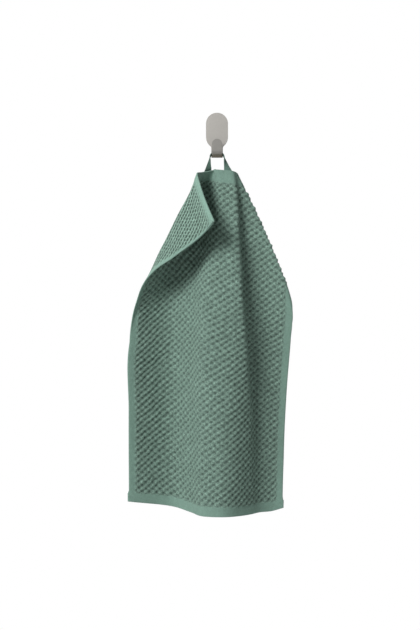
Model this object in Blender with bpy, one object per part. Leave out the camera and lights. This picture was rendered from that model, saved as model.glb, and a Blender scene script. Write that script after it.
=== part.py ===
"""Hand towel on a wall hook, in metres, +Z up, seen from -Y, with the wall at Y = 0.

The origin is the middle of the hook plate's back. Three pieces, as the real thing is made: the towel
(one cloth with its hems), the tape loop sewn behind its top hem, and the bent sheet-metal hook.

The cloth is worked out row by row. A row is a thread across the cloth at the distance v below the top
hem, and u runs along it from the left selvage. FOLDS holds where each fold line lies as it runs down the
cloth, a row's curve goes through those lines, and the two top corners roll over: the left one forward,
the right one back behind the towel.
"""

import bpy
import numpy as np

MM = 0.001

# Cloth, in mm
WIDTH, LENGTH = 300.0, 500.0
THICKNESS = 3.0
HEM = 14.0  # width of the turned hem, where rows of the mesh lie

# Rows of (v down the cloth, x, y, z), from the left side to the right
FOLDS = {
    "left side": ((0, -28, -56, -72), (20, -36, -51, -94), (60, -55, -52, -131), (120, -84, -45, -188),
                  (150, -97, -37, -217), (172, -107, -33, -242), (187, -113, -32, -256), (202, -118, -32, -270),
                  (220, -122, -34, -287), (250, -128, -36, -317), (360, -129, -36, -417), (500, -129, -34, -550)),
    "left hollow": ((0, -17, -30, -67), (20, -19, -16, -79), (60, -31, -14, -114), (120, -60, -10, -176),
                    (185, -67, -10, -245), (260, -61, -10, -319), (360, -60, -9, -419), (500, -58, -13, -563)),
    "rise": ((0, -2, -20, -62), (20, -9, -18, -80), (60, -13, -22, -119), (120, -27, -27, -180),
             (185, -38, -32, -245), (260, -38, -33, -320), (360, -40, -31, -421), (500, -38, -33, -566)),
    "crest": ((0, -4, -33, -64), (20, 3, -34, -84), (60, 7, -44, -126), (120, -4, -58, -187),
              (185, -14, -69, -250), (260, -18, -68, -324), (360, -20, -64, -424), (500, -20, -65, -565)),
    "shoulder": ((0, 10, -33, -65), (20, 14, -36, -86), (60, 17, -46, -128), (120, 12, -60, -189),
                 (185, 12, -73, -254), (260, 9, -70, -328), (360, 7, -70, -426), (500, 4, -70, -565)),
    "crease": ((0, 22, -31, -66), (20, 25, -35, -87), (60, 26, -46, -129), (120, 28, -60, -192),
               (185, 32, -71, -257), (260, 38, -61, -330), (360, 45, -47, -429), (500, 48, -38, -568)),
    "fall": ((0, 27, -26, -67), (20, 30, -27, -88), (60, 33, -32, -131), (120, 36, -39, -194),
             (185, 40, -45, -260), (260, 46, -36, -332), (360, 55, -26, -431), (500, 64, -22, -568)),
    "right hollow": ((0, 29, -20, -68), (20, 37, -24, -89), (60, 47, -30, -133), (120, 54, -34, -195),
                     (185, 58, -37, -261), (260, 65, -27, -333), (360, 76, -18, -430), (500, 81, -14, -568)),
    "right side": ((0, 30, -14, -69), (20, 40, -21, -91), (60, 58, -30, -134), (120, 84, -38, -197),
                   (154, 97, -40, -232), (182, 105, -39, -261), (200, 109, -38, -279), (236, 108, -29, -314),
                   (296, 104, -18, -374), (360, 101, -12, -433), (500, 97, -12, -564)),
}
# Rows of (v, width of cloth beyond the corner fold)
LEFT_CORNER = ((0, 99), (20, 84), (40, 76), (80, 55), (120, 32), (150, 20), (180, 12), (215, 6), (250, 0),
               (500, 0))
RIGHT_CORNER = ((0, 98), (60, 66), (120, 33), (165, 10), (185, 4), (210, 0), (500, 0))
LEFT_ROLL, RIGHT_ROLL = 5.0, 4.0  # radius that the cloth turns round at a corner fold
LEFT_CURL = ((0, 11), (60, 11), (110, 8), (150, 2), (175, 0), (500, 0))  # (v, width of the curled edge)
CURL_RADIUS = 8.0
# Rows of (v, x, y, z), places that the turned corners point at
LEFT_FLAP = ((0, -2, -101, -148), (20, -12, -86, -157), (42, -27, -82, -171), (62, -43, -77, -183),
             (100, -70, -68, -203), (130, -91, -60, -217), (144, -100, -52, -224), (156, -106, -48, -232),
             (172, -113, -46, -245), (187, -117, -44, -257), (202, -122, -42, -272), (220, -126, -40, -289),
             (250, -134, -39, -320), (500, -134, -37, -550))
RIGHT_FLAP = ((0, -30, -6, -144), (50, 5, -12, -179), (100, 46, -22, -211), (150, 85, -33, -241),
              (182, 100, -30, -268), (210, 104, -30, -290), (500, 96, -5, -562))

# Hook of bent sheet metal, in mm
METAL = 2.0
PLATE_RADIUS = 16.5
PLATE_CENTRES = (9.0, -11.0)  # heights of the two round ends' centres
STRIP_WIDTH, TONGUE_WIDTH = 17.4, 15.4
NECK_FILLET = 5.0
THROAT = 14.0  # clear space between the plate and the tongue
HOOK_BOTTOM_Z = -43.0
TONGUE_TOP_Z = -16.5

# Tape of the hanging loop, in mm
TAPE_WIDTH, TAPE_THICKNESS = 12.5, 1.2
GAP = 0.3  # between two pieces that touch
TAPE_TUCK = 12.0  # length of tape sewn behind the hem
TAPE_LEGS = (-12.0, 16.5)  # x of each leg where it meets the hem


def spline(at, rows):
    """Positions at the distances `at` on a smooth curve through rows of (distance, x, y, ...)."""
    rows = np.array(rows, float)
    knots, points = rows[:, 0], rows[:, 1:]
    slopes = np.gradient(points, knots, axis=0)
    i = np.clip(np.searchsorted(knots, at, side="right") - 1, 0, len(knots) - 2)
    step = (knots[i + 1] - knots[i])[:, None]
    s = (at - knots[i])[:, None] / step
    return (
        (2 * s**3 - 3 * s**2 + 1) * points[i]
        + (s**3 - 2 * s**2 + s) * step * slopes[i]
        + (3 * s**2 - 2 * s**3) * points[i + 1]
        + (s**3 - s**2) * step * slopes[i + 1]
    )


def corner_width(v, rows):
    """Cloth that lies beyond a corner fold on the rows v."""
    return np.maximum(spline(v, rows)[:, 0], 0)


def along(points, samples=300):
    """A fine curve through one row's points, and the share of its length at each sample."""
    chord = np.r_[0, np.cumsum(np.linalg.norm(np.diff(points, axis=0), axis=1))]
    fine = spline(np.linspace(0, chord[-1], samples), np.c_[chord, points])
    length = np.r_[0, np.cumsum(np.linalg.norm(np.diff(fine, axis=0), axis=1))]
    return fine, length / length[-1]


def unit(vector):
    return vector / np.linalg.norm(vector)


def turned(start, outward, target, radius, beyond, width, curl):
    """Cloth past a corner fold: an arc that turns from outward towards the target, then a straight run,
    whose free edge may curl up. The curl takes at most four fifths of the run."""
    flap = unit(target - start)
    side = unit(flap - flap @ outward * outward)
    turn = np.arccos(np.clip(flap @ outward, -1, 1))
    angle = np.minimum(beyond / radius, turn)[:, None]
    run = np.maximum(beyond - radius * turn, 0)[:, None]
    whole = max(width - radius * turn, 0)
    curled = min(curl, 0.8 * whole)
    bent = np.clip(run - whole + curled, 0, None)
    bend = bent / CURL_RADIUS
    up = np.sin(turn) * outward - np.cos(turn) * side
    roll = radius * (np.sin(angle) * outward + (1 - np.cos(angle)) * side)
    straight = run - bent + CURL_RADIUS * np.sin(bend)
    return start + roll + straight * flap + CURL_RADIUS * (1 - np.cos(bend)) * up


def drape(u, v):
    """Points of the hanging cloth, in mm, at u (rows, columns) on the rows v."""
    points = np.empty(u.shape + (3,))
    left = corner_width(v, LEFT_CORNER)
    right = WIDTH - corner_width(v, RIGHT_CORNER)
    left_flap, right_flap = spline(v, LEFT_FLAP), spline(v, RIGHT_FLAP)
    curl = corner_width(v, LEFT_CURL)
    lines = np.stack([spline(v, rows) for rows in FOLDS.values()], axis=1)
    for i in range(len(v)):
        fine, share = along(lines[i])
        for axis in range(3):
            points[i, :, axis] = np.interp(
                u[i], left[i] + share * (right[i] - left[i]), fine[:, axis]
            )
        out = u[i] < left[i]
        outward = unit(fine[0] - fine[1])
        beyond, width = (left[i] - u[i])[out], left[i]
        points[i, out] = turned(fine[0], outward, left_flap[i], LEFT_ROLL, beyond, width, curl[i])
        out = u[i] > right[i]
        outward = unit(fine[-1] - fine[-2])
        beyond, width = (u[i] - right[i])[out], WIDTH - right[i]
        points[i, out] = turned(fine[-1], outward, right_flap[i], RIGHT_ROLL, beyond, width, 0)
    return points


def cloth_grid():
    """Rows and columns of the cloth: close together at the hems and in the corner rolls."""
    upper, lower = np.linspace(HEM, 236, 21), np.linspace(236, LENGTH - HEM, 17)[1:]
    v = np.r_[0, HEM / 2, upper, lower, LENGTH - HEM / 2, LENGTH]
    left, right = corner_width(v, LEFT_CORNER), corner_width(v, RIGHT_CORNER)
    left, right = np.maximum(left, 12), np.maximum(right, 12)
    near = np.linspace(1, 0, 10)[:-1] ** 2  # a flap's columns gather at its fold
    middle = np.linspace(0, 1, 31)
    curl = np.minimum(LEFT_CURL[0][1], 0.45 * left)[:, None]
    u = np.concatenate(
        [
            curl * np.linspace(0, 1, 5)[:-1],
            curl + (left[:, None] - curl) * (1 - near[None, :]),
            left[:, None] + (WIDTH - left - right)[:, None] * middle[None, :],
            WIDTH - right[:, None] * (1 - near[None, ::-1]),
        ],
        axis=1,
    )
    return u, v


def make_object(name, points, faces, material):
    mesh = bpy.data.meshes.new(name)
    mesh.from_pydata((np.asarray(points) * MM).tolist(), [], faces)
    made = bpy.data.objects.new(name, mesh)
    bpy.context.scene.collection.objects.link(made)
    mesh.materials.append(material)
    return made


def grid_faces(rows, columns):
    """Quads over a grid of points, each facing the viewer when rows run down and columns right."""
    return [
        (r * columns + c, (r + 1) * columns + c, (r + 1) * columns + c + 1, r * columns + c + 1)
        for r in range(rows - 1)
        for c in range(columns - 1)
    ]


def thicken(made, thickness, offset=0.0):
    solid = made.modifiers.new("thickness", "SOLIDIFY")
    solid.thickness = thickness * MM
    solid.offset = offset
    return made


def material(name, colour, roughness, metallic=0.0):
    made = bpy.data.materials.new(name)
    made.use_nodes = True
    shader = made.node_tree.nodes["Principled BSDF"]
    shader.inputs["Base Color"].default_value = (*colour, 1)
    shader.inputs["Roughness"].default_value = roughness
    shader.inputs["Metallic"].default_value = metallic
    made.diffuse_color = (*colour, 1)
    return made


def make_towel():
    u, v = cloth_grid()
    points = drape(u, v)
    cloth = material("towel cloth", (0.142, 0.205, 0.175), 0.95)
    faces = grid_faces(len(v), u.shape[1])
    return thicken(make_object("towel", points.reshape(-1, 3), faces, cloth), THICKNESS)


def plate_half_width(z):
    """Half the plate's width at the height z: a round end that a fillet carries into the strip."""
    top, low = PLATE_CENTRES
    strip = STRIP_WIDTH / 2
    fillet_z = low - np.sqrt((PLATE_RADIUS + NECK_FILLET) ** 2 - (strip + NECK_FILLET) ** 2)
    meet_z = low + (fillet_z - low) * PLATE_RADIUS / (PLATE_RADIUS + NECK_FILLET)
    if z > top:
        return np.sqrt(PLATE_RADIUS**2 - (z - top) ** 2)
    if z > low:
        return PLATE_RADIUS
    if z > meet_z:
        return np.sqrt(PLATE_RADIUS**2 - (z - low) ** 2)
    if z > fillet_z:
        return strip + NECK_FILLET - np.sqrt(NECK_FILLET**2 - (z - fillet_z) ** 2)
    return strip


def hook_path():
    """Rows of the hook's outer face from the plate's top to the tongue's top: (y, z, half width)."""
    top, low = PLATE_CENTRES
    round_end = np.cos(np.linspace(0.12, np.pi / 2, 12))
    heights = np.r_[top + PLATE_RADIUS * round_end, np.linspace(low, low - 20, 17)]
    rows = [(0, z, plate_half_width(z)) for z in heights]
    radius = THROAT / 2 + METAL
    bend = np.linspace(0, np.pi, 17)
    widths = np.linspace(STRIP_WIDTH / 2, TONGUE_WIDTH / 2, len(bend))
    rows += [
        (radius * (np.cos(a) - 1), HOOK_BOTTOM_Z + radius * (1 - np.sin(a)), w)
        for a, w in zip(bend, widths)
    ]
    tongue = TONGUE_WIDTH / 2
    for a in np.linspace(0, np.pi / 2 - 0.12, 10):
        rows.append((-2 * radius, TONGUE_TOP_Z - tongue + tongue * np.sin(a), tongue * np.cos(a)))
    return np.array(rows)


def make_hook():
    path = hook_path()
    across = np.linspace(-1, 1, 9)
    points = [(side * half, y, z) for y, z, half in path for side in across]
    metal = material("hook metal", (0.42, 0.40, 0.37), 0.38, 1.0)
    hook = make_object("wall_hook", points, grid_faces(len(path), len(across)), metal)
    # The path is the outer face, and the metal lies inside the bend
    return thicken(hook, METAL, 1.0)


def behind_hem(x, across, v):
    """Points behind the top hem, a tape's half thickness clear of it: `across` runs along the hem from x."""
    u = np.linspace(LEFT_CORNER[0][1] + 8, WIDTH - RIGHT_CORNER[0][1] - 4, 200)[None, :]
    edge = drape(u, np.array([0.0]))[0]
    at = u[0, np.argmin(np.abs(edge[:, 0] - x))] + across
    rows = drape(np.stack([at - 1, at, at + 1] * 2), np.repeat([v, v + 2.0], 3))
    away = np.cross(rows[4] - rows[1], rows[2] - rows[0])
    away /= np.linalg.norm(away, axis=1)[:, None]
    away *= np.sign(away[:, 1:2])  # towards the wall
    return rows[1] + away * (THICKNESS / 2 + GAP + TAPE_THICKNESS / 2)


def make_loop():
    """The tape: up from behind the hem, cupped in the hook's throat, and down again."""
    across = np.linspace(-0.5, 0.5, 5) * TAPE_WIDTH
    radius = THROAT / 2 - GAP - TAPE_THICKNESS / 2
    edge = STRIP_WIDTH / 2 + GAP + TAPE_THICKNESS

    def seat(x, drop):
        # The edge of the tape that is outside at the hem is at the back here
        y = -METAL - THROAT / 2 - radius * np.sin(across / radius)
        z = HOOK_BOTTOM_Z + METAL + THROAT / 2 - radius * np.cos(across / radius) - drop
        return np.stack([np.full(5, x), y, z], axis=1)

    left, right = TAPE_LEGS
    rows = [behind_hem(left, across, v) for v in (TAPE_TUCK, TAPE_TUCK / 2, 0)]
    rows += [rows[-1] * (1 - s) + seat(-edge, 2.6) * s for s in (0.3, 0.65)]
    places = ((-edge, 2.6), (1.5 - edge, 0), (0, 0), (edge - 1.5, 0), (edge, 2.6))
    rows += [seat(x, drop) for x, drop in places]
    hem = [behind_hem(right, -across, v) for v in (0, TAPE_TUCK / 2, TAPE_TUCK)]
    rows += [hem[0] * s + seat(edge, 2.6) * (1 - s) for s in (0.35, 0.7)] + hem
    rows = np.array(rows)
    middle = rows[:, 2]
    chord = np.r_[0, np.cumsum(np.linalg.norm(np.diff(middle, axis=0), axis=1))]
    at = np.linspace(0, chord[-1], 61)
    points = spline(at, np.c_[chord, rows.reshape(len(rows), -1)]).reshape(-1, 3)
    cloth = material("hanging tape", (0.115, 0.2, 0.16), 0.9)
    return thicken(make_object("hanging_loop", points, grid_faces(len(at), 5), cloth), TAPE_THICKNESS)


def main():
    for old in list(bpy.data.objects):
        bpy.data.objects.remove(old, do_unlink=True)
    make_towel()
    make_loop()
    make_hook()


main()
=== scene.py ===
# %% [markdown]
# # Hand towel on a wall hook
# A small cotton towel hangs by a tape loop from a bent metal hook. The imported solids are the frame:
# they say where each piece is, and this script dresses them. Sizes are in millimetres until a mesh is
# made, +Z is up, -Y is towards the viewer, and the hook's flat back lies in the plane Y = 0.

import bpy
import numpy as np
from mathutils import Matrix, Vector


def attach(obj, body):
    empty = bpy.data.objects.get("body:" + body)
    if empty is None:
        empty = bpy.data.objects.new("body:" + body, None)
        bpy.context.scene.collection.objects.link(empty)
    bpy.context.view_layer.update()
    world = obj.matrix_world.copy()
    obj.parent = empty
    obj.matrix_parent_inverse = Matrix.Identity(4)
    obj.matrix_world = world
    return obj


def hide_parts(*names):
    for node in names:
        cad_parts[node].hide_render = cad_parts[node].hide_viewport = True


MM = 0.001
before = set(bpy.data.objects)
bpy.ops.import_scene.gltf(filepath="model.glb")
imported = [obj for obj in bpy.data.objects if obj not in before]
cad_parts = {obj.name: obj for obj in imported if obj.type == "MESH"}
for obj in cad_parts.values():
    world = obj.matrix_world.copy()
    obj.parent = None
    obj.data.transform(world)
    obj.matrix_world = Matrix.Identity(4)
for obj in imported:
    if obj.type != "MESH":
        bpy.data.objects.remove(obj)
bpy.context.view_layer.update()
print("solids in the frame:", ", ".join(sorted(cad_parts)))

# %% [markdown]
# ## Camera
# The photograph is taken straight on, from about 1.4 m, with hook and towel in the middle of the
# frame. A camera could be aimed by eye, but here its focal length follows from one measure: how many
# millimetres of cloth a pixel covers. The plate's middle, which is the origin, then falls on its pixel
# because the camera stands as far to the side and below as that pixel is from the centre.

# %% Camera at the photograph's angle
FRAME_PIXELS = (420, 630)
CAMERA_AWAY = 1400.0  # in front of the origin
CLOTH_AWAY = 45.0  # mean depth of the cloth
CLOTH_MM_PER_PIXEL = 1.45
ORIGIN_PIXEL = (217, 130)
SENSOR = 36.0

focal_pixels = (CAMERA_AWAY - CLOTH_AWAY) / CLOTH_MM_PER_PIXEL
origin_mm_per_pixel = CAMERA_AWAY / focal_pixels
camera_data = bpy.data.cameras.new("camera")
camera_data.sensor_width = SENSOR
camera_data.lens = SENSOR * focal_pixels / max(FRAME_PIXELS)
camera = bpy.data.objects.new("camera", camera_data)
camera.location = Vector((
    (FRAME_PIXELS[0] / 2 - ORIGIN_PIXEL[0]) * origin_mm_per_pixel,
    -CAMERA_AWAY,
    (ORIGIN_PIXEL[1] - FRAME_PIXELS[1] / 2) * origin_mm_per_pixel,
)) * MM
camera.rotation_euler = (np.pi / 2, 0, 0)
bpy.context.scene.collection.objects.link(camera)
bpy.context.scene.camera = camera
print(f"camera: {camera_data.lens:.1f} mm lens, {origin_mm_per_pixel:.3f} mm a pixel at the origin")

# %% [markdown]
# ## Curves through listed points
# Folded cloth is described by a few points that are easy to read off: where a fold line runs. A smooth
# curve has to join them. Blender's Bezier curves could do it one at a time. A Hermite curve worked out
# in numpy goes through every point, stays near them, and serves hundreds of curves at once.


# %% Smooth curves
def curves(knots, points, at):
    """Positions at the distances `at` on smooth curves: (curves, knots, axes) to (curves, samples, axes).

    Between two knots the curve is a cubic that meets both points and both slopes. A knot's slope is the
    mean of the rates on its two sides, each weighted by the other side's length.
    """
    length = np.diff(knots, axis=1)[..., None]
    rate = np.diff(points, axis=1) / length
    before, after = length[:, :-1], length[:, 1:]
    inner = (rate[:, :-1] * after + rate[:, 1:] * before) / (before + after)
    slope = np.concatenate([rate[:, :1], inner, rate[:, -1:]], axis=1)
    i = np.clip((at[:, :, None] >= knots[:, None, :]).sum(axis=2) - 1, 0, knots.shape[1] - 2)
    row = np.arange(len(points))[:, None]
    span = length[row, i]
    s = (at - knots[row, i])[..., None] / span
    return (
        (2 * s**3 - 3 * s**2 + 1) * points[row, i]
        + (s**3 - 2 * s**2 + s) * span * slope[row, i]
        + (3 * s**2 - 2 * s**3) * points[row, i + 1]
        + (s**3 - s**2) * span * slope[row, i + 1]
    )


def curve(at, table):
    """Positions at the distances `at` on one smooth curve through rows of (distance, x, y, ...)."""
    table = np.array(table, float)
    return curves(table[None, :, 0], table[None, :, 1:], np.asarray(at, float)[None])[0]


def lengths(points):
    """Distance run along each polyline of (polylines, points, 3), as the running sum of its steps."""
    steps = np.linalg.norm(np.diff(points, axis=1), axis=2)
    return np.concatenate([np.zeros((len(points), 1)), np.cumsum(steps, axis=1)], axis=1)


def unit(vectors):
    """Each vector divided by its length."""
    return vectors / np.linalg.norm(vectors, axis=-1, keepdims=True)


tent = curve([0.5, 1.0, 1.5], ((0, 0), (1, 1), (2, 0)))[:, 0]
print("a curve through 0, 1 and 0 passes", tent.round(2))

# %% [markdown]
# ## How the cloth hangs
# Both top corners have dropped over, the left one forward and the right one back, so the loop at the
# middle of the top hem carries a bundle that opens into soft folds below. Cloth simulation finds such a
# shape by itself, but never quite the one in a picture. Here the main folds are drawn as lines down
# the cloth. A thread across the cloth is a curve through those lines, and it keeps its real length
# because the cloth's width is shared out along it.

# %% Fold lines of the towel
WIDTH, LENGTH = 300.0, 500.0
# Each fold line is rows of (v down the cloth, x, y, z), and they run from the left side to the right
FOLDS = {
    "left side": (
        (0, -28, -56, -72), (20, -36, -51, -94), (60, -55, -52, -131), (120, -84, -45, -188),
        (150, -97, -37, -217), (172, -107, -33, -242), (187, -113, -32, -256), (202, -118, -32, -270),
        (220, -122, -34, -287), (250, -128, -36, -317), (360, -129, -36, -417), (500, -129, -34, -550),
    ),
    "left hollow": (
        (0, -17, -30, -67), (20, -19, -16, -79), (60, -31, -14, -114), (120, -60, -10, -176),
        (185, -67, -10, -245), (260, -61, -10, -319), (360, -60, -9, -419), (500, -58, -13, -563),
    ),
    "rise": (
        (0, -2, -20, -62), (20, -9, -18, -80), (60, -13, -22, -119), (120, -27, -27, -180),
        (185, -38, -32, -245), (260, -38, -33, -320), (360, -40, -31, -421), (500, -38, -33, -566),
    ),
    "crest": (
        (0, -4, -33, -64), (20, 3, -34, -84), (60, 7, -44, -126), (120, -4, -58, -187),
        (185, -14, -69, -250), (260, -18, -68, -324), (360, -20, -64, -424), (500, -20, -65, -565),
    ),
    "shoulder": (
        (0, 10, -33, -65), (20, 14, -36, -86), (60, 17, -46, -128), (120, 12, -60, -189),
        (185, 12, -73, -254), (260, 9, -70, -328), (360, 7, -70, -426), (500, 4, -70, -565),
    ),
    "crease": (
        (0, 22, -31, -66), (20, 25, -35, -87), (60, 26, -46, -129), (120, 28, -60, -192),
        (185, 32, -71, -257), (260, 38, -61, -330), (360, 45, -47, -429), (500, 48, -38, -568),
    ),
    "fall": (
        (0, 27, -26, -67), (20, 30, -27, -88), (60, 33, -32, -131), (120, 36, -39, -194),
        (185, 40, -45, -260), (260, 46, -36, -332), (360, 55, -26, -431), (500, 64, -22, -568),
    ),
    "right hollow": (
        (0, 29, -20, -68), (20, 37, -24, -89), (60, 47, -30, -133), (120, 54, -34, -195),
        (185, 58, -37, -261), (260, 65, -27, -333), (360, 76, -18, -430), (500, 81, -14, -568),
    ),
    "right side": (
        (0, 30, -14, -69), (20, 40, -21, -91), (60, 58, -30, -134), (120, 84, -38, -197),
        (154, 97, -40, -232), (182, 105, -39, -261), (200, 109, -38, -279), (236, 108, -29, -314),
        (296, 104, -18, -374), (360, 101, -12, -433), (500, 97, -12, -564),
    ),
}
print(f"cloth: {WIDTH:.0f} x {LENGTH:.0f} mm flat, {len(FOLDS)} fold lines")

# %% [markdown]
# ## The turned corners
# Past a corner fold the thread turns round a small roll and runs straight to the corner's free edge. A
# Simple Deform modifier could bend a flat corner over, but only along one straight line. Here each row
# says how much cloth lies beyond the fold and what place it points at, so that a corner narrows and
# twists on its way down. The left corner's free edge also curls up from its run.

# %% Cloth beyond the corner folds
# Rows of (v, width of cloth beyond the corner fold)
LEFT_CORNER = (
    (0, 99), (20, 84), (40, 76), (80, 55), (120, 32), (150, 20), (180, 12), (215, 6), (250, 0), (500, 0),
)
RIGHT_CORNER = (
    (0, 98), (60, 66), (120, 33), (165, 10), (185, 4), (210, 0), (500, 0),
)
LEFT_ROLL, RIGHT_ROLL = 5.0, 4.0  # radius that the cloth turns round at a corner fold
# Rows of (v, width of the curled edge)
LEFT_CURL = ((0, 11), (60, 11), (110, 8), (150, 2), (175, 0), (500, 0))
CURL_RADIUS = 8.0
CURL_MOST = 0.8  # share of a row's straight run that may curl
print(f"top hem: {LEFT_CORNER[0][1]} mm turned forward, {RIGHT_CORNER[0][1]} mm turned back")

# %% Where the turned corners point
# Rows of (v, x, y, z)
LEFT_FLAP = (
    (0, -2, -101, -148), (20, -12, -86, -157), (42, -27, -82, -171), (62, -43, -77, -183),
    (100, -70, -68, -203), (130, -91, -60, -217), (144, -100, -52, -224), (156, -106, -48, -232),
    (172, -113, -46, -245), (187, -117, -44, -257), (202, -122, -42, -272), (220, -126, -40, -289),
    (250, -134, -39, -320), (500, -134, -37, -550),
)
RIGHT_FLAP = (
    (0, -30, -6, -144), (50, 5, -12, -179), (100, 46, -22, -211), (150, 85, -33, -241),
    (182, 100, -30, -268), (210, 104, -30, -290), (500, 96, -5, -562),
)
print("tips point at", LEFT_FLAP[0][1:], "in front and", RIGHT_FLAP[0][1:], "behind")


# %% Round the roll and along the flap
def corner_width(v, table):
    """Cloth beyond a corner fold on the rows v, from the curve through its table, never below zero."""
    return np.maximum(curve(v, table)[:, 0], 0)


def turned(start, outward, target, radius, beyond, width, curl):
    """Cloth past a corner fold: an arc of the roll's radius that turns from outward to the target, a
    straight run, and a second arc that curls the free edge up from the run.

    start, outward and target are (rows, 3), beyond is (rows, columns), and width is all the cloth beyond
    the fold, (rows, 1). A curl takes no more than its largest share of the run.
    """
    flap = unit(target - start)
    facing = (flap * outward).sum(axis=1, keepdims=True)
    side = unit(flap - facing * outward)
    turn = np.arccos(np.clip(facing, -1, 1))
    angle = np.minimum(beyond / radius, turn)[..., None]
    arc = np.sin(angle) * outward[:, None] + (1 - np.cos(angle)) * side[:, None]
    run = np.maximum(beyond - radius * turn, 0)
    whole = np.maximum(width - radius * turn, 0)
    curled = np.minimum(curl, CURL_MOST * whole)
    bent = np.clip(run - whole + curled, 0, None)
    bend = bent / CURL_RADIUS
    forward = (run - bent + CURL_RADIUS * np.sin(bend))[..., None]
    lift = (CURL_RADIUS * (1 - np.cos(bend)))[..., None]
    up = np.sin(turn) * outward - np.cos(turn) * side
    return start[:, None] + radius * arc + forward * flap[:, None] + lift * up[:, None]


print(f"left corner: {corner_width([100.0], LEFT_CORNER)[0]:.0f} mm beyond the fold at v = 100 mm")


# %% From fold lines to threads
def drape(u, v, samples=300):
    """Points of the hanging cloth where the columns u meet the rows v: (rows, columns, 3), in mm.

    Each row is a fine curve through its fold points. The part of u between the two corner folds is laid
    along it in proportion to its length, and the rest goes round the corner rolls.
    """
    points = np.stack([curve(v, table) for table in FOLDS.values()], axis=1)
    chord = lengths(points)
    fine = curves(chord, points, chord[:, -1:] * np.linspace(0, 1, samples))
    share = lengths(fine)
    share /= share[:, -1:]
    left = corner_width(v, LEFT_CORNER)[:, None]
    right = WIDTH - corner_width(v, RIGHT_CORNER)[:, None]
    # The rows are laid end to end, two apart, so that one interpolation serves them all
    lane = 2.0 * np.arange(len(v))[:, None]
    wanted = np.clip((u - left) / (right - left), 0, 1) + lane
    known = (share + lane).ravel()
    made = np.stack([np.interp(wanted, known, fine[..., axis].ravel()) for axis in range(3)], axis=2)
    outward = unit(fine[:, 0] - fine[:, 1])
    curl = corner_width(v, LEFT_CURL)[:, None]
    flap = turned(fine[:, 0], outward, curve(v, LEFT_FLAP), LEFT_ROLL, np.maximum(left - u, 0), left, curl)
    made = np.where((u < left)[..., None], flap, made)
    outward = unit(fine[:, -1] - fine[:, -2])
    beyond, width = np.maximum(u - right, 0), WIDTH - right
    flap = turned(fine[:, -1], outward, curve(v, RIGHT_FLAP), RIGHT_ROLL, beyond, width, 0.0)
    return np.where((u > right)[..., None], flap, made)


top_ends, bottom_ends = drape(np.array([0.0, WIDTH]), np.array([0.0, LENGTH])).round()
print("top corners at", top_ends.tolist(), "and bottom corners at", bottom_ends.tolist())

# %% [markdown]
# ## The weave
# The field of the towel is a chequer of raised floats, oval crowns about 8 by 4 mm with a deep hole
# between each four, and the hems and the two selvages are smooth plain weave. Over two thousand crowns
# could be copies of one small mesh, but a woven cloth is one skin, so its height is worked out as a
# formula over the cloth: the sum of two slanted waves, which are the two diagonals of the chequer. The
# wave that rises to the right weighs more, because its ridges show more, and a power then rounds the
# crowns into domes.

# %% Count and size of the floats
SELVAGE = 10.0
TOP_HEM, BOTTOM_HEM = 18.0, 13.5
REVERSE_HEM = 12.0  # the top hem on the back of the cloth, narrower than the plain band in front
FLOATS, FLOAT_ROWS = 23, 100
float_pitch = (WIDTH - 2 * SELVAGE) / FLOATS
float_row = (LENGTH - TOP_HEM - BOTTOM_HEM) / FLOAT_ROWS
print(f"weave: a float every {float_pitch:.2f} mm across and {float_row:.2f} mm down")

# %% Unevenness and soft steps
SPARE = 3  # random numbers past the last whole step of the grid


def uneven(u, v, size, seed):
    """Smooth random values of about -1 to 1 at (v, u): random numbers on a coarse grid of the given
    size, blended between its points by a cosine ease."""
    grid_shape = (int(LENGTH / size) + SPARE, int(WIDTH / size) + SPARE)
    grid = np.random.default_rng(seed).uniform(-1, 1, grid_shape)
    y, x = v[:, None] / size, u[None, :] / size
    row, column = np.floor(y).astype(int), np.floor(x).astype(int)
    down = (1 - np.cos(np.pi * (y - row))) / 2
    across = (1 - np.cos(np.pi * (x - column))) / 2
    upper = grid[row, column] * (1 - across) + grid[row, column + 1] * across
    lower = grid[row + 1, column] * (1 - across) + grid[row + 1, column + 1] * across
    return upper * (1 - down) + lower * down


def wander(u, v, table):
    """Sum of uneven values from rows of (amount, size, seed), large and small ones together."""
    return sum(amount * uneven(u, v, size, seed) for amount, size, seed in table)


def ease(x):
    """A smooth step from 0 to 1 as x goes from 0 to 1."""
    x = np.clip(x, 0, 1)
    return x * x * (3 - 2 * x)


# %% Field, hems and rounded edges
SOFT_EDGE = 1.5  # over which the field's height and a hem's come and go
HEM_LEAD = 1.0  # how far before the field a hem starts to thin
HEM_HALF, SELVAGE_HALF = 1.3, 0.8  # half thicknesses


def in_field(u, v, top_hem=TOP_HEM):
    """1 in the field of floats and 0 on hems and selvages, with a soft edge between."""
    side = np.minimum(u - SELVAGE, WIDTH - SELVAGE - u)[None, :]
    end = np.minimum(v - top_hem, LENGTH - BOTTOM_HEM - v)[:, None]
    return ease(np.minimum(side, end) / SOFT_EDGE)


def in_hem(v, top_hem=TOP_HEM):
    """1 on the two hems and 0 between them."""
    inside = np.minimum(v - top_hem, LENGTH - BOTTOM_HEM - v)
    return 1 - ease((inside + HEM_LEAD) / SOFT_EDGE)[:, None]


def rounded(u, v, half):
    """Share of a half thickness left near the cloth's outer edge, where its section is a half circle."""
    side = np.minimum(u, WIDTH - u)[None, :]
    end = np.minimum(v, LENGTH - v)[:, None]
    inside = np.clip(np.minimum(side, end) / half, 0, 1)
    return np.sqrt(1 - (1 - inside) ** 2)


print(f"cloth: {2 * HEM_HALF} mm thick at the hems and {2 * SELVAGE_HALF} mm at the selvages")

# %% Height of the woven face
UPWARD_SLANT = 0.62  # weight of the diagonal that rises to the right
DOME_POWER = 1.15  # 1 gives waves with wide gaps, 2 broad crowns with narrow holes
CROWN_HEIGHT = 2.4
GROUND = -0.1  # height of the holes' floor from the middle of the cloth
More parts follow.
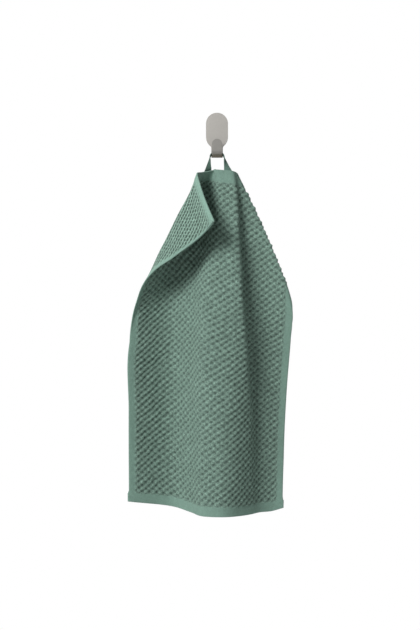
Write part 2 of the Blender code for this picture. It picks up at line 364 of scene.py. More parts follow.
# Rows of (amount, size of a patch in mm, seed): amounts are in floats, rows of floats and crown heights
ACROSS_UNEVEN = ((0.08, 22, 1), (0.05, 7, 5))
DOWN_UNEVEN = ((0.16, 17, 2), (0.13, 6, 6))
HEIGHT_UNEVEN = ((0.34, 7, 3),)


def crowns(u, v):
    """Height of the floats, from 0 in a hole to 1 on a crown.

    Two waves run across and down, one slanting each way, and their weighted sum is 1 on a crown and -1
    in a hole. A power of its distance from 1 rounds the crowns into domes with gaps between them.
    """
    across = 2 * np.pi * ((u[None, :] - SELVAGE) / float_pitch + wander(u, v, ACROSS_UNEVEN))
    down = np.pi * ((v[:, None] - TOP_HEM) / float_row + wander(u, v, DOWN_UNEVEN))
    waves = UPWARD_SLANT * np.cos(across + down) + (1 - UPWARD_SLANT) * np.cos(across - down)
    return 1 - ((1 - waves) / 2) ** DOME_POWER


def face_height(u, v):
    """Height of the woven face above the middle of the cloth, and how high each point is in the weave:
    ground plus crowns in the field, half the thickness on hems and selvages, rounded at the edge."""
    crown = crowns(u, v)
    lively = CROWN_HEIGHT * (1 + wander(u, v, HEIGHT_UNEVEN))
    field, hem = in_field(u, v), in_hem(v)
    plain = hem * HEM_HALF + (1 - hem) * SELVAGE_HALF
    height = field * (GROUND + lively * crown) + (1 - field) * plain
    return height * rounded(u, v, HEM_HALF), field * crown + (1 - field)


# The heights alone, on a patch of 40 by 30 mm
patch = face_height(np.linspace(100, 140, 161), np.linspace(200, 230, 121))[0]
print(f"weave: holes down to {patch.min():.1f} mm and crowns up to {patch.max():.1f} mm from the middle")

# %% Depth of the reverse
REVERSE_DEPTH = 1.0


def reverse_depth(u, v):
    """Depth of the flat reverse face below the middle of the cloth."""
    field, hem = in_field(u, v, REVERSE_HEM), in_hem(v, REVERSE_HEM)
    plain = hem * HEM_HALF + (1 - hem) * SELVAGE_HALF
    return (field * REVERSE_DEPTH + (1 - field) * plain) * rounded(u, v, HEM_HALF)


print(f"reverse: {REVERSE_DEPTH} mm behind the middle in the field")

# %% [markdown]
# ## The towel's mesh
# The woven face needs a fine grid, and the flat reverse does not. Both faces are grids over the same
# cloth, the face with about eight columns to a float, the reverse several times coarser, and a strip of
# triangles round the edge joins them into one closed skin. A Solidify modifier would be simpler, but it
# would copy every float to the back and double the count.

# %% Rows and columns
EDGE_STEPS = np.array([0, 0.4, 1.1, 2.4, 4.3, 6.2, 8.1])  # gathered at the edge, where the section is round
TOP_HEM_ROWS = (9.9, 11.7, 13.2, 14.2, 15.0, 15.8, 16.9)  # from there to the field
BOTTOM_HEM_ROWS = (9.3, 10.2, 11.0, 12.2)
FACE_STEPS = (8, 4)  # columns to a float's pitch, and rows to a float row
REVERSE_EVERY = (2, 5)  # columns and rows of the face to one of the reverse
REVERSE_INSET = 0.5  # of the reverse's outer ring from the edge

field_u = np.linspace(SELVAGE, WIDTH - SELVAGE, FLOATS * FACE_STEPS[0] + 1)
field_v = np.linspace(TOP_HEM, LENGTH - BOTTOM_HEM, FLOAT_ROWS * FACE_STEPS[1] + 1)
top_rows = np.r_[EDGE_STEPS, TOP_HEM_ROWS]
bottom_rows = np.r_[EDGE_STEPS, BOTTOM_HEM_ROWS]
face_u = np.r_[EDGE_STEPS, field_u, WIDTH - EDGE_STEPS[::-1]]
face_v = np.r_[top_rows, field_v, LENGTH - bottom_rows[::-1]]


def inset(at, inset_by):
    """The same places with the first and last moved in from the edge."""
    return np.r_[at[0] + inset_by, at[1:-1], at[-1] - inset_by]


reverse_u = inset(face_u[::REVERSE_EVERY[0]], REVERSE_INSET)
reverse_v = inset(face_v[::REVERSE_EVERY[1]], REVERSE_INSET)
print(f"face {len(face_v)} x {len(face_u)} points, reverse {len(reverse_v)} x {len(reverse_u)}")

# %% [markdown]
# ## Small liveliness in the drape
# Cloth is never quite as smooth as its main folds. It buckles softly by a millimetre, a pressed crease
# stands up as a low ridge, the doubled hems reach a little past the selvages at their ends, and the
# turned corner's hem bows between its fold and its tip. Sculpting could add all this by hand, but
# formulas can be read and changed. They go into the middle surface before the two faces are raised
# from it, so that both faces share them.

# %% The pressed crease
# Rows of (v, u, height of the ridge, half width), all in mm
CREASE = (
    (0, 182, 0.4, 3), (20, 190, 1.4, 2.5), (60, 193, 2.6, 2.5), (120, 195, 2.8, 2.5), (185, 199, 2.6, 3),
    (260, 211, 2.0, 5), (360, 228, 1.0, 6), (430, 234, 0.4, 8), (500, 238, 0, 8),
)
CREASE_ROUND = 0.6  # distance from the line within which the ridge's top is rounded


def crease(u, v):
    """Height of the pressed crease: highest on its line and falling off on both sides as an exponential
    of the distance. The distance is the root of its square plus a small one, which rounds the top."""
    at, height, half = curve(v, CREASE).T[:, :, None]
    away = np.sqrt((u - at) ** 2 + CREASE_ROUND**2)
    return height * np.exp(-away / half)


print(f"crease: up to {max(row[2] for row in CREASE)} mm high")

# %% The middle surface
BUCKLE, BUCKLE_SIZE, BUCKLE_SEED = 1.0, 42.0, 4
BUCKLE_START, BUCKLE_REACH = 40.0, 60.0  # the buckle starts below the bundle and grows over its reach
HEM_FLARE, FLARE_REACH = 1.8, 16.0
HEM_BOW, BOW_REACH = 3.2, 40.0


def middle(u, v):
    """Middle surface of the cloth and its normals towards the woven side: two arrays (rows, columns, 3).

    The normal is the cross product of the steps down and across. The buckle and the crease move points
    along it. The hems' ends move outwards along their row, by the square of the nearness to the edge.
    The bow moves the turned corner's hem down the cloth, by half a sine wave from tip to fold times the
    square of the nearness to the edge.
    """
    points = drape(u, v)
    across, down = unit(np.gradient(points, u, axis=1)), unit(np.gradient(points, v, axis=0))
    out = unit(np.cross(down, across))
    side = np.minimum(u, WIDTH - u)[None, :]
    flare = in_hem(v) * HEM_FLARE * np.clip(1 - side / FLARE_REACH, 0, 1) ** 2 * np.sign(u - WIDTH / 2)
    grown = ease((v - BUCKLE_START) / BUCKLE_REACH)[:, None]
    raised = BUCKLE * uneven(u, v, BUCKLE_SIZE, BUCKLE_SEED) * grown + crease(u, v)
    to_fold = np.clip(u / LEFT_CORNER[0][1], 0, 1)
    bow = HEM_BOW * np.sin(np.pi * to_fold) * np.clip(1 - v / BOW_REACH, 0, 1)[:, None] ** 2
    points = points + flare[..., None] * across + bow[..., None] * down + raised[..., None] * out
    across, down = np.gradient(points, u, axis=1), np.gradient(points, v, axis=0)
    return points, unit(np.cross(down, across))


print(f"middle: buckles by {BUCKLE} mm, hem flares by {HEM_FLARE} mm and bows by {HEM_BOW} mm")

# %% [markdown]
# ## From grids to pieces
# A mesh is a list of points and a list of faces. bmesh could make them one at a time, which is slow for
# a fine cloth, so faces are counted out as whole arrays and put in together. The strip round the edge
# fans from the reverse's few points to the face's many.


# %% Grids into faces
def grid_quads(rows, columns, first=0):
    """Corners of the quads of a grid of points numbered row by row, turned to the woven side."""
    corner = first + np.arange(rows * columns).reshape(rows, columns)
    quads = [corner[:-1, :-1], corner[1:, :-1], corner[1:, 1:], corner[:-1, 1:]]
    return np.stack(quads, axis=-1).reshape(-1, 4)


def ring(rows, columns, first=0):
    """Numbers of a grid's outer points as four sides: down, right, up and left, each with both ends."""
    corner = first + np.arange(rows * columns).reshape(rows, columns)
    return corner[:, 0], corner[-1], corner[::-1, -1], corner[0, ::-1]


def strip(fine, coarse):
    """Triangles between a fine side and a coarse one: each coarse point fans to its share of the fine
    points, and one more triangle steps to the next coarse point."""
    every = (len(fine) - 1) // (len(coarse) - 1)
    hub = np.repeat(coarse[:-1], every)
    fans = np.stack([fine[:-1], hub, fine[1:]], axis=1)
    steps = np.stack([coarse[:-1], coarse[1:], fine[every::every]], axis=1)
    return np.concatenate([fans, steps])


print(f"a grid of 3 by 4 points has {len(grid_quads(3, 4))} quads")


# %% Meshes into pieces
def make_piece(name, points, faces):
    """An object from points in mm and lists of faces, shaded smooth, riding on the frame's only body."""
    mesh = bpy.data.meshes.new(name)
    mesh.from_pydata((np.asarray(points).reshape(-1, 3) * MM).tolist(), [], faces)
    mesh.polygons.foreach_set("use_smooth", np.ones(len(mesh.polygons), bool))
    mesh.update()
    piece = bpy.data.objects.new(name, mesh)
    bpy.context.scene.collection.objects.link(piece)
    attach(piece, "root")
    return piece


def set_attribute(piece, name, values):
    """One number for each point of the piece's mesh, for its material to read."""
    attribute = piece.data.attributes.new(name, "FLOAT", "POINT")
    attribute.data.foreach_set("value", np.asarray(values, np.float32).ravel())


def set_map(piece, name, places):
    """A UV map from one flat place for each point: every face corner takes its point's place."""
    corners = np.empty(len(piece.data.loops), np.int32)
    piece.data.loops.foreach_get("vertex_index", corners)
    layer = piece.data.uv_layers.new(name=name)
    layer.uv.foreach_set("vector", np.asarray(places, np.float32).reshape(-1, 2)[corners].ravel())


# %% Build the towel
face_points, face_out = middle(face_u, face_v)
height, weave_level = face_height(face_u, face_v)
face_points = face_points + height[..., None] * face_out
reverse_points, reverse_out = middle(reverse_u, reverse_v)
reverse_points = reverse_points - reverse_depth(reverse_u, reverse_v)[..., None] * reverse_out

face_shape, reverse_shape = height.shape, reverse_points.shape[:2]
face_count = height.size
quads = np.concatenate([
    grid_quads(*face_shape),
    grid_quads(*reverse_shape, first=face_count)[:, ::-1],
])
joins = np.concatenate([
    strip(fine, coarse)
    for fine, coarse in zip(ring(*face_shape), ring(*reverse_shape, first=face_count))
])
towel = make_piece(
    "towel_cloth",
    np.concatenate([face_points.reshape(-1, 3), reverse_points.reshape(-1, 3)]),
    quads.tolist() + joins.tolist(),
)
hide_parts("towel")
print(f"towel: {2 * len(quads) + len(joins)} triangles")

# %% Where each point lies on the cloth
places = np.concatenate([
    np.stack(np.meshgrid(u / WIDTH, v / LENGTH), axis=2).reshape(-1, 2)
    for u, v in ((face_u, face_v), (reverse_u, reverse_v))
])
set_map(towel, "cloth", places)
set_attribute(towel, "weave_level", np.r_[weave_level.ravel(), np.ones(len(places) - face_count)])
set_attribute(towel, "plain_weave", np.r_[
    1 - in_field(face_u, face_v).ravel(),
    1 - in_field(reverse_u, reverse_v, REVERSE_HEM).ravel(),
])
set_attribute(towel, "reverse", np.arange(len(places)) >= face_count)
print(f"map: {len(places)} places on the cloth, {len(places) - face_count} of them on the reverse")

# %% [markdown]
# ## Nodes with few words
# A material is a small graph of nodes. Adding each node and link by hand takes three lines, so a helper
# adds a node, sets its plain values and links the rest in one call.


# %% Helpers for materials
class Finish:
    """A material and its node graph, with the Principled shader as `shader`."""

    def __init__(self, name):
        self.material = bpy.data.materials.new(name)
        self.material.use_nodes = True
        self.tree = self.material.node_tree
        self.shader = self.tree.nodes["Principled BSDF"]

    def put(self, socket, value):
        """A socket takes a plain value, or a link from another node's output."""
        if isinstance(value, bpy.types.NodeSocket):
            self.tree.links.new(value, socket)
        else:
            socket.default_value = value

    def add(self, kind, inputs=(), out=0, **settings):
        """Adds a node with its settings and inputs, and returns one of its outputs."""
        node = self.tree.nodes.new("ShaderNode" + kind)
        for key, value in settings.items():
            setattr(node, key, value)
        for key, value in dict(inputs).items():
            self.put(node.inputs[key], value)
        return node.outputs[out]

    def math(self, operation, *values):
        """One arithmetic step on numbers or outputs."""
        return self.add("Math", dict(enumerate(values)), operation=operation)

    def mix(self, share, first, second):
        """Blend of two colours by a share from 0 to 1. The node has sockets for several kinds of data:
        6 and 7 are its two colours, and output 2 is their blend."""
        mixed = {"Factor": share, 6: first, 7: second}
        return self.add("Mix", mixed, out=2, data_type="RGBA", clamp_factor=True)

    def noise(self, place, scale, detail=3.0):
        """Smooth noise from 0 to 1 at a place, with scale cells to a metre and finer ones inside them."""
        return self.add("TexNoise", {"Vector": place, "Scale": scale, "Detail": detail})

    def spread(self, value, low, high, start=0.0, end=1.0):
        """A value that goes from start to end stretched to run from low to high, and held outside."""
        span = {"Value": value, "From Min": start, "From Max": end, "To Min": low, "To Max": high}
        return self.add("MapRange", span, clamp=True)

    def shine(self, values):
        """Values that are the same all over, set on the shader's own sockets."""
        for key, value in values.items():
            self.shader.inputs[key].default_value = value


# %% [markdown]
# ## Cotton of the towel
# Dyed cotton is matt and never quite even. An image could hold all this, but it would be fixed in size,
# so the finish is worked out. Shade is painted into the colour where the weave is low, darkest on the
# floors of the holes, and noise of three sizes makes patches, tufts and flecks. A map holds each point's
# place on the flat cloth, so that a pattern follows the folds.

# %% Places on the cloth
cotton = Finish("green cotton")
cloth_map = cotton.add("UVMap", uv_map="cloth")
separate = cotton.add("SeparateXYZ", {"Vector": cloth_map}).node
u_mm = cotton.math("MULTIPLY", separate.outputs["X"], WIDTH)
v_mm = cotton.math("MULTIPLY", separate.outputs["Y"], LENGTH)
space = cotton.add("TexCoord", out="Object")
CLOTH_LEVELS = ("weave_level", "plain_weave", "reverse")
level, plain, reverse = [
    cotton.add("Attribute", attribute_name=name, out="Fac") for name in CLOTH_LEVELS
]
print("cotton reads the cloth's map,", ", ".join(CLOTH_LEVELS))

# %% [markdown]
# ## Slits on the reverse
# The back of such a weave is nearly flat, with small slits between its threads. Cutting thousands of
# slits would need a fine mesh on the side that is seen least, so they are bump and painted shade, a
# darker colour where shade falls into them. They keep the floats' rows, with twice as many across. Noise
# nudges each one, and they lean, so that neighbours don't run together into lines.

# %% Slits
SLIT_SIZE = (1.7, 2.3)  # half width and half length
SLIT_EDGE = (1.25, 0.55)  # distances, as shares of that size, where a slit begins and is fully open
SLIT_WOBBLE, WOBBLE_SCALE = 2.5, 170.0  # how far noise moves the slits, and its cells to a metre
SLIT_SLANT = -0.5  # how far a slit leans across the cloth for each step down it
slit_pitch = float_pitch / 2

wobble = cotton.add("TexNoise", {"Vector": space, "Scale": WOBBLE_SCALE, "Detail": 1.0}, out="Color")
wobble = cotton.add("SeparateXYZ", {"Vector": wobble}).node


def moved(at, axis):
    """A distance on the cloth, moved by one channel of the coloured noise less its mean of a half."""
    off = cotton.math("SUBTRACT", wobble.outputs[axis], 0.5)
    return cotton.math("ADD", at, cotton.math("MULTIPLY", off, SLIT_WOBBLE))


def in_cell(distance, pitch, shift):
    """Place in a cell of the lattice, from minus to plus half a pitch: the fraction of the distance
    over the pitch plus the shift, less a half, times the pitch."""
    cells = cotton.math("ADD", cotton.math("DIVIDE", distance, pitch), shift)
    return cotton.math("MULTIPLY", cotton.math("SUBTRACT", cotton.math("FRACT", cells), 0.5), pitch)


def from_slit(shift):
    """Distance from the nearest slit of every other row, as a share of the slit's size: the place in
    its cell across, less the slant, and down, each divided by the slit's half size, then the length."""
    across = in_cell(cotton.math("SUBTRACT", moved(u_mm, 0), SELVAGE), slit_pitch, shift)
    down = in_cell(cotton.math("SUBTRACT", moved(v_mm, 1), TOP_HEM), 2 * float_row, shift)
    leaning = cotton.math("SUBTRACT", across, cotton.math("MULTIPLY", down, SLIT_SLANT))
    x = cotton.math("DIVIDE", leaning, SLIT_SIZE[0])
    y = cotton.math("DIVIDE", down, SLIT_SIZE[1])
    squares = [cotton.math("MULTIPLY", side, side) for side in (x, y)]
    return cotton.math("SQRT", cotton.math("ADD", *squares))


nearest = cotton.math("MINIMUM", from_slit(0.0), from_slit(0.5))
edge = {"Value": nearest, "From Min": SLIT_EDGE[0], "From Max": SLIT_EDGE[1]}
open_slit = cotton.add("MapRange", edge, interpolation_type="SMOOTHSTEP")
field_share = cotton.math("SUBTRACT", 1.0, plain)
slit = cotton.math("MULTIPLY", open_slit, cotton.math("MULTIPLY", reverse, field_share))
print(f"slits: every {slit_pitch:.1f} mm across and {2 * float_row:.1f} mm down, and halfway between")

# %% Colour of the cotton, with painted shade in its holes and slits
FIELD_GREEN = (0.151, 0.231, 0.191, 1.0)
PLAIN_GREEN = (0.150, 0.240, 0.198, 1.0)
HOLE_SHADE, HOLE_LEVEL = 0.33, 0.72  # painted shade: colour kept on a hole's floor, and the weave level where the painted shade ends
SLIT_SHADE, REVERSE_TONE, REVERSE_PLAIN_TONE = 0.2, 1.14, 1.1  # painted shade: colour kept in a slit; the back is a little paler
PATCH_SCALE, TUFT_SCALE, FLECK_SCALE = 30.0, 300.0, 760.0  # cells of noise to a metre
PATCH_TONES, TUFT_TONES, FLECK_TONES = (0.9, 1.1), (0.84, 1.16), (0.52, 1.48)
NOISE_MIDDLE = (0.3, 0.7)  # most values of a noise lie between these
PLAIN_LIVELY = 0.25  # share of the tufts and flecks that shows on plain weave

patches = cotton.spread(cotton.noise(space, PATCH_SCALE), *PATCH_TONES)
tufts = cotton.spread(cotton.noise(space, TUFT_SCALE, 1.0), *TUFT_TONES, *NOISE_MIDDLE)
flecks = cotton.spread(cotton.noise(space, FLECK_SCALE, 2.0), *FLECK_TONES, *NOISE_MIDDLE)
lively_tone = cotton.math("SUBTRACT", cotton.math("MULTIPLY", flecks, tufts), 1.0)
lively_share = cotton.spread(plain, 1.0, PLAIN_LIVELY)
lively = cotton.math("ADD", 1.0, cotton.math("MULTIPLY", lively_tone, lively_share))
tone = cotton.math("MULTIPLY", patches, lively)
# painted shade: the colour darkens low in the weave and in the reverse's slits, where shade falls
painted_hole_shade = cotton.spread(level, HOLE_SHADE, 1.0, 0.0, HOLE_LEVEL)
depth = cotton.math("MULTIPLY", painted_hole_shade, cotton.spread(slit, 1.0, SLIT_SHADE))
plain_back = cotton.spread(cotton.math("MULTIPLY", plain, reverse), 1.0, REVERSE_PLAIN_TONE)
back_tone = cotton.math("MULTIPLY", cotton.spread(reverse, 1.0, REVERSE_TONE), plain_back)
shade = cotton.math("MULTIPLY", cotton.math("MULTIPLY", tone, depth), back_tone)
grey = cotton.add("CombineXYZ", {"X": shade, "Y": shade, "Z": shade})
green = cotton.mix(plain, FIELD_GREEN, PLAIN_GREEN)
shaded = cotton.add("VectorMath", {0: green, 1: grey}, operation="MULTIPLY")
cotton.put(cotton.shader.inputs["Base Color"], shaded)
print(f"cotton: a hole keeps {HOLE_SHADE:.0%} of the crowns' colour")

# %% [markdown]
# ## Thread and fuzz
# Threads are ridges under a millimetre, and a bump node tilts the light as such relief would. Fuzz
# stands off cotton and catches light at a glancing angle. It could be grown as hair, but it is far finer
# than a pixel, and the shader's sheen does the same. A white sheen would turn the cloth grey where it is
# seen edge-on, so the sheen is tinted green.

# %% Threads and fuzz of the cotton
YARN = 0.9  # pitch of one thread
FUZZ_SCALE = 1600.0
THREAD_BUMP, SLIT_BUMP = 0.25, 2.5  # height of the threads and depth of the slits, where fuzz has 1
FUZZ_GREEN = (0.55, 0.76, 0.66, 1.0)

over_v = cotton.math("SINE", cotton.math("MULTIPLY", v_mm, 2 * np.pi / YARN))
over_u = cotton.math("SINE", cotton.math("MULTIPLY", u_mm, 2 * np.pi / YARN))
tabby = cotton.math("MULTIPLY", over_u, over_v)
threads = cotton.add("Mix", {"Factor": plain, 2: over_v, 3: tabby})  # sockets 2 and 3 are plain values
fuzz = cotton.noise(space, FUZZ_SCALE, 4.0)
relief = cotton.math("ADD", cotton.math("MULTIPLY", threads, THREAD_BUMP), fuzz)
relief = cotton.math("SUBTRACT", relief, cotton.math("MULTIPLY", slit, SLIT_BUMP))
bump = cotton.add("Bump", {"Strength": 0.6, "Distance": 0.4 * MM, "Height": relief})
cotton.put(cotton.shader.inputs["Normal"], bump)
cotton.put(cotton.shader.inputs["Roughness"], cotton.spread(fuzz, 0.82, 1.0))
cotton.shine({
    "Specular IOR Level": 0.1,
    "Sheen Weight": 0.25,
    "Sheen Roughness": 0.6,
    "Sheen Tint": FUZZ_GREEN,
})
towel.data.materials.append(cotton.material)
print("cotton nodes:", len(cotton.tree.nodes))

# %% [markdown]
# ## Hanging loop
# A narrow cotton tape is sewn behind the top hem, goes up through the hook's throat and down again. It
# could be a curve with a flat bevel, but its width turns from lying against the cloth to lying across
# the hook, so it is drawn as rows of five points across its width, smoothed both ways, and thickened.

# %% Sizes of the hook and the tape
METAL, THROAT = 2.0, 14.0  # thickness of the sheet, and the room inside its bend
HOOK_BOTTOM_Z = -43.0
STRIP_WIDTH = 17.4
GAP = 0.3  # between the tape and what it lies on
TAPE_WIDTH, TAPE_THICKNESS = 12.5, 1.2
TAPE_POINTS = 5
tape_across = np.linspace(-0.5, 0.5, TAPE_POINTS) * TAPE_WIDTH
print(f"tape: {TAPE_WIDTH:.1f} mm wide and {TAPE_THICKNESS:.1f} mm thick")

# %% Behind the hem
TAPE_TUCK = 12.0  # length at each end that is sewn behind the hem
TAPE_LEGS = (-12.0, 16.5)  # x of the middle of each leg at the hem
SOLID_HALF = 1.5  # half the thickness of the cloth's solid
FOLD_ROOM = (8.0, 4.0)  # hem left out next to the left and the right corner fold
HEM_SAMPLES = 200
SLOPE_STEP = 2.0  # down the cloth, for its slope


def behind_hem(x, across, v):
    """Points of the tape behind the top hem, starting where the hem is at x and running along it: the
    cloth's points at v, moved back along its normal by half of both thicknesses and the gap."""
    first, last = LEFT_CORNER[0][1] + FOLD_ROOM[0], WIDTH - RIGHT_CORNER[0][1] - FOLD_ROOM[1]
    u = np.linspace(first, last, HEM_SAMPLES)
    edge = drape(u, np.array([0.0]))[0]
    at = u[np.argmin(np.abs(edge[:, 0] - x))] + across
    # One more point at each end gives the first and last of them a slope
    rows = drape(np.r_[at[0] - 1, at, at[-1] + 1], np.array([v, v + SLOPE_STEP]))
    away = unit(np.cross(np.gradient(rows[0], axis=0), rows[1] - rows[0]))[1:-1]
    away *= np.sign(away[:, 1:2])
    return rows[0, 1:-1] + away * (SOLID_HALF + GAP + TAPE_THICKNESS / 2)


left_hem = [behind_hem(TAPE_LEGS[0], tape_across, v) for v in (TAPE_TUCK, TAPE_TUCK / 2, 0)]
right_hem = [behind_hem(TAPE_LEGS[1], -tape_across, v) for v in (0, TAPE_TUCK / 2, TAPE_TUCK)]
print("tape leaves the hem at", left_hem[-1].mean(axis=0).round(), right_hem[0].mean(axis=0).round())

# %% Over the hook
SEAT_DROP = 2.6  # how far the tape has sunk where it leaves the strip
SEAT_INSET = 1.5  # from there to where it bears
LEFT_SHARES, RIGHT_SHARES = (0.3, 0.65), (0.35, 0.7)  # rows between hem and seat, as shares of the way
seat_radius = THROAT / 2 - GAP - TAPE_THICKNESS / 2
strip_edge = STRIP_WIDTH / 2 + GAP + TAPE_THICKNESS


def seat(x, drop=0.0):
    """Points of the tape across the hook at x: an arc that fits the throat, lowered by drop."""
    angle = tape_across / seat_radius
    y = -METAL - THROAT / 2 - seat_radius * np.sin(angle)
    z = HOOK_BOTTOM_Z + METAL + THROAT / 2 - seat_radius * np.cos(angle) - drop
    return np.stack([np.full(TAPE_POINTS, x), y, z], axis=1)


left_seat, right_seat = seat(-strip_edge, SEAT_DROP), seat(strip_edge, SEAT_DROP)
tape_rows = np.array(
    left_hem
    + [left_hem[-1] * (1 - s) + left_seat * s for s in LEFT_SHARES]
    + [left_seat, seat(SEAT_INSET - strip_edge), seat(0), seat(strip_edge - SEAT_INSET), right_seat]
    + [right_hem[0] * s + right_seat * (1 - s) for s in RIGHT_SHARES]
    + right_hem
)
tape_run = lengths(tape_rows[None, :, TAPE_POINTS // 2])[0]
print(f"tape: {tape_run[-1]:.0f} mm long")

# %% Surface of the tape
RIB_PITCH, RIB_HEIGHT = 1.9, 0.09
EDGE_LEFT = 0.08  # share of the thickness that is left at the very edge


def tape_surface(along, across):
    """Middle surface of the tape: smooth along its length through the rows, then smooth across them."""
    table = np.c_[tape_run, tape_rows.reshape(len(tape_rows), -1)]
    lines = curve(along, table).reshape(len(along), TAPE_POINTS, 3)
    knots = np.broadcast_to(tape_across, (len(along), TAPE_POINTS))
    return curves(knots, lines, np.broadcast_to(across, (len(along), len(across))))


def tape_half(along, across):
    """Half thickness of the tape: round edges, and slanting twill ribs that change slant at the middle
    like a fishbone, as a cosine of the distance along plus the distance from the middle line."""
    near_edge = np.clip((TAPE_WIDTH / 2 - np.abs(across)) / (TAPE_THICKNESS / 2), 0, 1)
    round_edge = np.sqrt(1 - (1 - near_edge) ** 2)[None, :]
    ribs = np.cos(2 * np.pi * (along[:, None] + np.abs(across)[None, :]) / RIB_PITCH)
    flat = TAPE_THICKNESS / 2 - RIB_HEIGHT + RIB_HEIGHT * ribs
    return flat * (EDGE_LEFT + (1 - EDGE_LEFT) * round_edge)


print(f"tape: a rib every {RIB_PITCH} mm")

# %% Build the tape
TAPE_STEPS, TAPE_COLUMNS = 260, 33
along = np.linspace(0, tape_run[-1], TAPE_STEPS)
turn_across = np.linspace(-np.pi / 2, np.pi / 2, TAPE_COLUMNS)
across = np.sin(turn_across) * (TAPE_WIDTH / 2)
tape_middle = tape_surface(along, across)
tape_out = unit(np.cross(np.gradient(tape_middle, axis=0), np.gradient(tape_middle, axis=1)))
thick = tape_half(along, across)[..., None] * tape_out
sides = (tape_middle + thick, tape_middle - thick)
count = TAPE_STEPS * TAPE_COLUMNS
skin = np.concatenate([
    grid_quads(TAPE_STEPS, TAPE_COLUMNS),
    grid_quads(TAPE_STEPS, TAPE_COLUMNS, count)[:, ::-1],
])
edges = zip(ring(TAPE_STEPS, TAPE_COLUMNS), ring(TAPE_STEPS, TAPE_COLUMNS, count))
rim = np.concatenate([
    np.stack([upper[:-1], lower[:-1], lower[1:], upper[1:]], axis=1) for upper, lower in edges
])
tape = make_piece("hanging_tape", np.stack(sides), np.concatenate([skin, rim]).tolist())
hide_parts("hanging_loop")
print(f"tape: {2 * (len(skin) + len(rim))} triangles")

# %% [markdown]
# ## Cotton of the tape
# The tape is woven tighter than the towel, so it is smoother and deeper in colour. Its ribs are in the
# mesh, so the finish adds only flecks and fuzz, from noise. Its left leg lies in a shade that the lamps
# here don't give, and a darker green on that leg stands in for it.

# %% Tape finish
TAPE_GREENS = ((0.070, 0.130, 0.104, 1.0), (0.108, 0.184, 0.150, 1.0))
LEG_GREEN = (0.052, 0.094, 0.074, 1.0)
LEG_FROM, LEG_TO = -6.0, -10.0  # x where the left leg's green begins and is full
TAPE_FLECK_SCALE, TAPE_FUZZ_SCALE = 700.0, 1800.0

tape_cotton = Finish("tape cotton")
tape_space = tape_cotton.add("TexCoord", out="Object")
tape_flecks = tape_cotton.spread(tape_cotton.noise(tape_space, TAPE_FLECK_SCALE, 2.0), *NOISE_MIDDLE)
tape_green = tape_cotton.mix(tape_flecks, *TAPE_GREENS)
tape_place = tape_cotton.add("SeparateXYZ", {"Vector": tape_space}).node
left_leg = tape_cotton.spread(tape_place.outputs["X"], 0.0, 1.0, LEG_FROM * MM, LEG_TO * MM)
tape_cotton.put(tape_cotton.shader.inputs["Base Color"], tape_cotton.mix(left_leg, tape_green, LEG_GREEN))
tape_fuzz = tape_cotton.noise(tape_space, TAPE_FUZZ_SCALE, 3.0)
tape_bump = tape_cotton.add("Bump", {"Strength": 0.4, "Distance": 0.2 * MM, "Height": tape_fuzz})
tape_cotton.put(tape_cotton.shader.inputs["Normal"], tape_bump)
tape_cotton.put(tape_cotton.shader.inputs["Roughness"], tape_cotton.spread(tape_fuzz, 0.78, 0.98))
tape_cotton.shine({
    "Specular IOR Level": 0.15,
    "Sheen Weight": 0.2,
    "Sheen Roughness": 0.5,
    "Sheen Tint": FUZZ_GREEN,
})
tape.data.materials.append(tape_cotton.material)
print("tape nodes:", len(tape_cotton.tree.nodes))

# %% [markdown]
# ## Wall hook
# The hook is one strip of sheet metal, cut with a round-ended plate, bent up into a tongue and given a
# satin finish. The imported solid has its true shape, so it stays, and only its surface is new: fine
# brushed grain along the strip, seen as a change of gloss more than of colour. Real metal also mirrors
# the dark things about it. A few of them could be built out of sight, but they would darken the cloth
# too, so a darker tone on the tongue and at the bend stands in for them.

# %% Satin metal
SATIN_TONES = ((0.39, 0.375, 0.35, 1.0), (0.425, 0.41, 0.385, 1.0))
TONGUE_TONE, BEND_TONE = (0.27, 0.262, 0.245, 1.0), (0.26, 0.23, 0.18, 1.0)
TONGUE_FROM, TONGUE_TO = -12.0, -16.0  # y where the tongue's tone begins and is full
BEND_FROM, BEND_TO = -37.0, -41.5  # z where the bend's tone begins and is full
GRAIN_SCALE, CLOUD_SCALE, CLOUD_SPREAD = 2600.0, 60.0, (0.2, 0.8)
GRAIN_STRETCH = (1.0, 1.0, 0.04)  # the grain runs down the strip

satin = Finish("satin metal")
metal_space = satin.add("TexCoord", out="Object")
grain_place = satin.add("Mapping", {"Vector": metal_space, "Scale": GRAIN_STRETCH})
grain = satin.noise(grain_place, GRAIN_SCALE, 2.0)
cloudy = satin.noise(metal_space, CLOUD_SCALE, 3.0)
warm = satin.mix(satin.spread(cloudy, *CLOUD_SPREAD), *SATIN_TONES)
metal_place = satin.add("SeparateXYZ", {"Vector": metal_space}).node
in_front = satin.spread(metal_place.outputs["Y"], 0.0, 1.0, TONGUE_FROM * MM, TONGUE_TO * MM)
at_bend = satin.spread(metal_place.outputs["Z"], 0.0, 1.0, BEND_FROM * MM, BEND_TO * MM)
toned = satin.mix(at_bend, satin.mix(in_front, warm, TONGUE_TONE), BEND_TONE)
satin.put(satin.shader.inputs["Base Color"], toned)
satin.put(satin.shader.inputs["Roughness"], satin.spread(grain, 0.38, 0.52))
satin_bump = satin.add("Bump", {"Strength": 0.15, "Distance": 0.05 * MM, "Height": grain})
satin.put(satin.shader.inputs["Normal"], satin_bump)
satin.shine({"Metallic": 0.85})
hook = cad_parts["wall_hook"]
hook.data.materials.clear()
hook.data.materials.append(satin.material)
print("satin nodes:", len(satin.tree.nodes))

# %% [markdown]
# ## Size of the cloth
# The towel is a sheet cut 300 by 500 mm, hung from its tape.

print(f"sheet: {WIDTH * LENGTH * MM**2:.2f} square metres")

# %% [markdown]
# ## Floor and light
# The towel hangs in a white studio. A big soft lamp stands at the upper left in front, as in the
# picture, where the turned corner is brightest and the right of each fold falls into shade. A weak one,
# low on the right, opens the shadows a little, and a third lights the back. The surroundings look white
# but light the towel less, or they would wash the folds out.

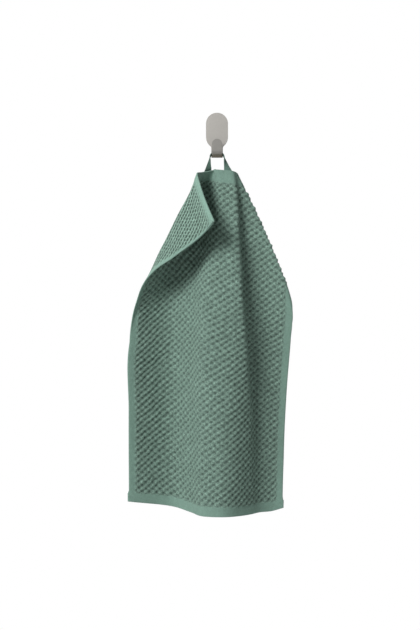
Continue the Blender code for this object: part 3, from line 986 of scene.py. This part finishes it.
# %% Floor
FLOOR_Z, FLOOR_HALF = -0.98, 1.6  # metres, as are all sizes from here on
FLOOR_FRONT, FLOOR_BACK = -2.6, 0.45
FLOOR_GREYS = ((0.83, 0.83, 0.83, 1), (0.87, 0.87, 0.87, 1))
FLOOR_CLOUDS = 6.0  # cells of noise to a metre
floor_mesh = bpy.data.meshes.new("floor")
corners = [
    (-FLOOR_HALF, FLOOR_FRONT, FLOOR_Z),
    (FLOOR_HALF, FLOOR_FRONT, FLOOR_Z),
    (FLOOR_HALF, FLOOR_BACK, FLOOR_Z),
    (-FLOOR_HALF, FLOOR_BACK, FLOOR_Z),
]
floor_mesh.from_pydata(corners, [], [(0, 1, 2, 3)])
floor = bpy.data.objects.new("floor", floor_mesh)
bpy.context.scene.collection.objects.link(floor)
pale = Finish("pale floor")
pale_tone = pale.noise(pale.add("TexCoord", out="Object"), FLOOR_CLOUDS)
pale.put(pale.shader.inputs["Base Color"], pale.mix(pale_tone, *FLOOR_GREYS))
pale.shine({"Roughness": 0.7})
floor_mesh.materials.append(pale.material)
print(f"floor: {2 * FLOOR_HALF:.1f} m wide, {-FLOOR_Z:.2f} m below the origin")


# %% Lamps
def soft_lamp(name, place, aim, size, watts):
    """A square area lamp at a place, turned so that it shines at the aim. All are in metres."""
    data = bpy.data.lights.new(name, "AREA")
    data.size = size
    data.energy = watts
    lamp = bpy.data.objects.new(name, data)
    lamp.location = place
    lamp.rotation_euler = (Vector(aim) - Vector(place)).to_track_quat("-Z", "Y").to_euler()
    bpy.context.scene.collection.objects.link(lamp)


TOWEL_MIDDLE = (0.0, -0.05, -0.3)
# Each lamp is (name, place, size, watts)
LAMPS = (
    ("key", (-1.10, -1.50, 0.70), 0.8, 51),
    ("fill", (1.0, -1.5, -0.95), 1.4, 5),
    ("back", (-0.8, 1.6, 0.6), 1.2, 14),
)
for name, place, size, watts in LAMPS:
    soft_lamp(name, place, TOWEL_MIDDLE, size, watts)
    print(f"{name} lamp: {size} m square, {watts} W")

# %% White surroundings
SURROUND_LIGHT = 0.23
world = bpy.data.worlds.new("white studio")
bpy.context.scene.world = world
world.use_nodes = True
background = world.node_tree.nodes["Background"]
rays = world.node_tree.nodes.new("ShaderNodeLightPath")
strength = world.node_tree.nodes.new("ShaderNodeMapRange")
strength.inputs["To Min"].default_value = SURROUND_LIGHT
strength.inputs["To Max"].default_value = 1.0
world.node_tree.links.new(rays.outputs["Is Camera Ray"], strength.inputs["Value"])
world.node_tree.links.new(strength.outputs["Result"], background.inputs["Strength"])
background.inputs["Color"].default_value = (1, 1, 1, 1)
bpy.context.scene.view_settings.view_transform = "Standard"
print(f"surroundings: white to the camera, and lighting at {SURROUND_LIGHT} of that")
